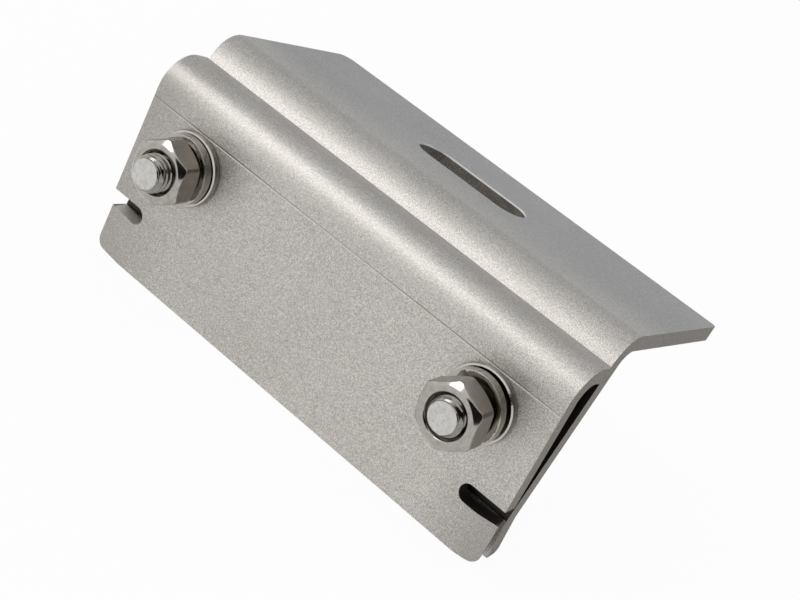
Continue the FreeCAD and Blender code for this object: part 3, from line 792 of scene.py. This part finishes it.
    def add_head(self, form: bmesh.types.BMesh, seat: Vector) -> None:
        """Add the domed head and the square neck.

        Args:
            form: The mesh that gets them.
            seat: Middle of the head's flat underside, in metres.
        """
        reach = self.head_mm / 2 * MM
        top = self.dome_mm * MM
        low = self.rim_mm * MM
        centre = (top**2 - low**2 - reach**2) / (2 * (top - low))
        radius = top - centre
        sweep = math.atan2(reach, low - centre)
        edge = self.head_edge_mm * MM
        profile = [(0.0, 0.0), (0.0, reach - edge), (edge, reach)]
        for step in range(self.head_rows + 1):
            lean = sweep * (1 - step / self.head_rows)
            profile.append((radius * math.cos(lean) + centre, radius * math.sin(lean)))
        verts = [form.verts.new(seat + Vector((0, along, out))) for along, out in profile]
        edges = [form.edges.new(pair) for pair in zip(verts, verts[1:])]
        bmesh.ops.spin(form, geom=verts + edges, cent=seat, axis=(0, 1, 0), angle=2 * math.pi,
                       steps=self.head_columns, use_duplicate=False)
        corner = self.neck_corner_mm * MM
        inset = self.neck_mm / 2 * MM - corner
        ring = []
        for turn in range(4):
            hub = math.radians(90 * turn + 45)
            for step in range(self.corner_steps + 1):
                bend = math.radians(90 * (turn + step / self.corner_steps))
                ring.append(Vector((
                    math.copysign(inset, math.cos(hub)) + corner * math.cos(bend), 0,
                    math.copysign(inset, math.sin(hub)) + corner * math.sin(bend))))
        near = [form.verts.new(seat + point) for point in ring]
        front = Vector((0, -self.neck_long_mm * MM, 0))
        far = [form.verts.new(seat + point + front) for point in ring]
        count = len(ring)
        for index in range(count):
            after = (index + 1) % count
            form.faces.new((near[index], near[after], far[after], far[index]))
        form.faces.new(near)
        form.faces.new(far[::-1])

    def build(self, material: Material) -> str:
        """Make the bolt and let it stand for the plain solid.

        Args:
            material: The bolt's material.

        Returns:
            The name of the piece.
        """
        node = f"bolt_{self.side.value}"
        low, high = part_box(node)
        middle_x = (low[0] + high[0]) / 2
        middle_z = (low[2] + high[2]) / 2
        tip = Vector((middle_x, low[1], middle_z))
        seat = Vector((middle_x, high[1] - self.dome_mm * MM, middle_z))
        form = bmesh.new()
        form.from_mesh(self.wind_thread(tip, material))
        self.add_head(form, seat)
        bmesh.ops.remove_doubles(form, verts=form.verts, dist=self.weld_mm * MM)
        return finish_piece(form, f"threaded_bolt_{self.side.value}", node, "back", material, self.sharp_deg)


@dataclass
class HexNut:
    """One hex nut with turned corners, chamfered faces and softly broken edges."""

    side: Side
    flats_mm: float = 13.0
    corners_mm: float = 14.6
    face_mm: float = 11.7
    chamfer_deg: float = 38.0
    bore_mm: float = 8.1
    sink_mm: float = 9.6
    edge_mm: float = 0.2
    turn_deg: dict[Side, float] = field(default_factory=lambda: {Side.LEFT: 26.0, Side.RIGHT: 24.0})
    flat_steps: int = 16
    corner_steps: int = 4
    edge_steps: int = 3
    edge_guard: float = 1.5
    sharp_deg: float = 24.0

    def directions(self) -> list[Pair]:
        """Work out the directions that the nut's rings pass through.

        Returns:
            Angle round the axis and the nut's reach there, for each direction.
        """
        half = self.flats_mm / 2
        reach = self.corners_mm / 2
        limit = math.acos(half / reach)
        spots = []
        for flat in range(6):
            middle = math.radians(60 * flat + 30 - self.turn_deg[self.side])
            for step in range(self.flat_steps):
                lean = limit * (2 * step / (self.flat_steps - 1) - 1)
                spots.append((middle + lean, half / math.cos(lean)))
            gap = math.radians(60) - 2 * limit
            for step in range(1, self.corner_steps):
                spots.append((middle + limit + gap * step / self.corner_steps, reach))
        return spots

    def outline(self, reach: float, height: float) -> list[Pair]:
        """Draw the nut's half section in one direction.

        Args:
            reach: How far the nut reaches in that direction, in millimetres.
            height: The nut's height in millimetres.

        Returns:
            Radius and distance from the rear face of each corner, round the section.
        """
        bore = self.bore_mm / 2
        sink = self.sink_mm / 2
        face = self.face_mm / 2
        drop = (reach - face) * math.tan(math.radians(self.chamfer_deg))
        return [(bore, 0.0), (bore, height - sink + bore), (sink, height), (face, height),
                (reach, height - drop), (reach, drop), (face, 0.0)]

    def round_corners(self, path: list[Pair]) -> list[Pair]:
        """Break the corners of a closed section, with a spare point beside each to keep the flats flat.

        Args:
            path: The section's corners.

        Returns:
            The points of the rounded section.
        """
        points = []
        for index, corner in enumerate(path):
            here = Vector(corner)
            back = (Vector(path[index - 1]) - here).normalized() * self.edge_mm
            ahead = (Vector(path[(index + 1) % len(path)]) - here).normalized() * self.edge_mm
            points.append(here + back * self.edge_guard)
            for step in range(self.edge_steps + 1):
                share = step / self.edge_steps
                points.append(here + back * (1 - share) ** 2 + ahead * share**2)
            points.append(here + ahead * self.edge_guard)
        return [tuple(point) for point in points]

    def build(self, material: Material) -> str:
        """Make the nut and let it stand for its solid.

        Args:
            material: The nut's material.

        Returns:
            The name of the piece.
        """
        node = f"hex_nut_{self.side.value}"
        low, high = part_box(node)
        rear = Vector(((low[0] + high[0]) / 2, high[1], (low[2] + high[2]) / 2))
        height = (high[1] - low[1]) / MM
        form = bmesh.new()
        rings = []
        for angle, reach in self.directions():
            section = self.round_corners(self.outline(reach, height))
            rings.append([form.verts.new(rear + Vector((
                radius * math.cos(angle), -along, radius * math.sin(angle))) * MM)
                for radius, along in section])
        for ring, following in zip(rings, rings[1:] + rings[:1]):
            for index in range(len(ring)):
                form.faces.new((ring[index - 1], ring[index], following[index], following[index - 1]))
        body = f"nut_{self.side.value}"
        return finish_piece(form, f"chamfered_nut_{self.side.value}", node, body, material, self.sharp_deg)


@dataclass
class FastenerSet:
    """Bolt, flat washer, spring washer and nut at one end."""

    side: Side
    washers: tuple[str, ...] = ("flat_washer", "spring_washer")
    washer_edge_mm: float = 0.5
    edge_turn_deg: float = 40.0

    def build(self, objects: dict[str, Object], finishes: dict[str, Material]) -> list[str]:
        """Make the bolt and the nut, and dress the washers.

        Args:
            objects: The frame's objects by node name.
            finishes: The materials by kind of piece.

        Returns:
            The names of the pieces.
        """
        names = [ThreadedBolt(self.side).build(finishes["bolt"])]
        names.append(HexNut(self.side).build(finishes["hex_nut"]))
        for kind in self.washers:
            name = f"{kind}_{self.side.value}"
            dress(objects[name], finishes[kind])
            soften(objects[name], self.washer_edge_mm, self.edge_turn_deg)
            names.append(name)
        return names


@dataclass(frozen=True)
class Lamp:
    """One soft lamp: where it stands, how large it is and how bright."""

    name: str
    place: Triple
    size: float
    watts: float


@dataclass(frozen=True)
class Card:
    """One large card that only the metal mirrors: where it stands, its size and its tone."""

    name: str
    place: Triple
    size: Pair
    tone: str


@dataclass
class Studio:
    """Pale floor, one soft lamp, grey cards and the camera at the photograph's viewing angle.

    Lengths are in metres unless their name ends in _mm.
    """

    eye_mm: Triple = (138.28, -271.44, 173.72)
    turn_deg: Triple = (62.070, -24.648, 37.130)
    lens_mm: float = 76.84
    sensor_mm: float = 36.0
    nearest: float = 0.01
    aim: Triple = (0.0, 0.0, 0.03)
    world_light: float = 0.7
    floor_tone: str = "#F2F2F1"
    floor_roughness: float = 0.9
    floor_gloss: float = 0.1
    floor_seen: float = 0.95
    floor_mirrored: float = 0.55
    floor_reach: float = 4.0
    floor_level: float = -0.0002
    lamps: tuple[Lamp, ...] = (
        Lamp("key_softbox", (-0.50, -0.60, 0.80), 0.52, 2.3),
    )
    cards: tuple[Card, ...] = (
        Card("dark_room_card", (0.62, -0.62, 0.42), (1.3, 0.85), "#202020"),
        Card("grey_back_card", (-0.42, 0.95, 0.16), (1.5, 0.75), "#C8CACC"),
        Card("grey_top_card", (-0.42, 0.45, 0.80), (1.5, 1.05), "#B4B6B8"),
        Card("dim_right_card", (0.75, 0.80, 0.32), (1.1, 0.9), "#4A4845"),
    )

    def add_camera(self) -> None:
        """Set the camera at the photograph's viewing angle."""
        data = bpy.data.cameras.new("photo_camera")
        data.lens = self.lens_mm
        data.sensor_width = self.sensor_mm
        data.clip_start = self.nearest
        camera = bpy.data.objects.new("photo_camera", data)
        camera.location = Vector(self.eye_mm) * MM
        camera.rotation_euler = Euler([math.radians(turn) for turn in self.turn_deg], "XYZ")
        bpy.context.scene.collection.objects.link(camera)
        bpy.context.scene.camera = camera

    def add_lamps(self) -> None:
        """Hang the lamps round the object, each turned to it."""
        for lamp in self.lamps:
            data = bpy.data.lights.new(lamp.name, "AREA")
            data.shape = "SQUARE"
            data.size = lamp.size
            data.energy = lamp.watts
            holder = bpy.data.objects.new(lamp.name, data)
            holder.location = lamp.place
            facing = Vector(self.aim) - Vector(lamp.place)
            holder.rotation_euler = facing.to_track_quat("-Z", "Y").to_euler()
            bpy.context.scene.collection.objects.link(holder)

    def add_cards(self) -> None:
        """Stand the cards up, each turned to the object and seen by reflections alone."""
        for card in self.cards:
            material = bpy.data.materials.new(card.name)
            material.use_nodes = True
            tree = material.node_tree
            tree.nodes.clear()
            glow = add_node(tree, "ShaderNodeEmission", {"Color": linear(card.tone), "Strength": 1.0})
            add_node(tree, "ShaderNodeOutputMaterial", {"Surface": glow})
            wide, high = (length / 2 for length in card.size)
            mesh = bpy.data.meshes.new(card.name)
            corners = [(-wide, -high, 0), (wide, -high, 0), (wide, high, 0), (-wide, high, 0)]
            mesh.from_pydata(corners, [], [(0, 1, 2, 3)])
            panel = bpy.data.objects.new(card.name, mesh)
            panel.location = card.place
            facing = Vector(self.aim) - Vector(card.place)
            panel.rotation_euler = facing.to_track_quat("Z", "Y").to_euler()
            panel.visible_camera = False
            panel.visible_diffuse = False
            panel.visible_shadow = False
            bpy.context.scene.collection.objects.link(panel)
            dress(panel, material)

    def add_world(self) -> None:
        """Make a plain world: white where it is seen or mirrored, a little less where it lights."""
        world = bpy.data.worlds.new("studio_world")
        world.use_nodes = True
        tree = world.node_tree
        back = tree.nodes["Background"]
        path = add_node(tree, "ShaderNodeLightPath").outputs
        seen = add_node(tree, MATH, (path["Is Camera Ray"], path["Is Glossy Ray"]), operation="MAXIMUM")
        seen = add_node(tree, MATH, (seen, path["Is Transmission Ray"]), operation="MAXIMUM")
        strength = add_node(tree, MATH, (seen, 1 - self.world_light, self.world_light),
                            operation="MULTIPLY_ADD")
        back.inputs["Color"].default_value = linear("#FFFFFF")
        tree.links.new(strength.outputs[0], back.inputs["Strength"])
        bpy.context.scene.world = world

    def add_floor(self) -> None:
        """Lay a plain pale floor just under the plates' edges."""
        material, tree, shader = new_material("pale_floor")
        shader.inputs["Base Color"].default_value = linear(self.floor_tone)
        shader.inputs["Roughness"].default_value = self.floor_roughness
        shader.inputs["Specular IOR Level"].default_value = self.floor_gloss
        glow = add_node(tree, "ShaderNodeEmission", {"Color": linear("#FFFFFF"), "Strength": 1.0})
        path = add_node(tree, "ShaderNodeLightPath").outputs
        mirrored = add_node(tree, MATH, (path["Is Glossy Ray"], path["Is Transmission Ray"]),
                            operation="MAXIMUM")
        mirrored = add_node(tree, MATH, (mirrored, self.floor_mirrored), operation="MULTIPLY")
        share = add_node(tree, MATH, (path["Is Camera Ray"], self.floor_seen, mirrored),
                         operation="MULTIPLY_ADD")
        mixed = add_node(tree, "ShaderNodeMixShader", (share, shader, glow))
        tree.links.new(mixed.outputs[0], tree.nodes["Material Output"].inputs["Surface"])
        mesh = bpy.data.meshes.new("floor")
        reach = self.floor_reach
        level = self.floor_level
        corners = [(-reach, -reach, level), (reach, -reach, level),
                   (reach, reach, level), (-reach, reach, level)]
        mesh.from_pydata(corners, [], [(0, 1, 2, 3)])
        floor = bpy.data.objects.new("floor", mesh)
        bpy.context.scene.collection.objects.link(floor)
        dress(floor, material)

    def build(self) -> None:
        """Set up the whole studio."""
        self.add_camera()
        self.add_lamps()
        self.add_cards()
        self.add_world()
        self.add_floor()
        bpy.context.scene.view_settings.view_transform = "Standard"


def main() -> None:
    """Build the clamp's pieces in order and report each one."""
    logging.basicConfig(level=logging.INFO, format="%(name)s: %(message)s")
    objects = frame["nodes"]
    Studio().build()
    for name in PlatePair().build(objects):
        LOG.info("plate %s dressed", name)
    finishes = {
        "bolt": BOLT_STEEL.build(), "hex_nut": NUT_STEEL.build(),
        "flat_washer": WASHER_STEEL.build(), "spring_washer": SPRING_STEEL.build(),
    }
    for side in Side:
        for name in FastenerSet(side).build(objects, finishes):
            LOG.info("%s fastener piece %s done", side.value, name)


if __name__ == "__main__":
    main()
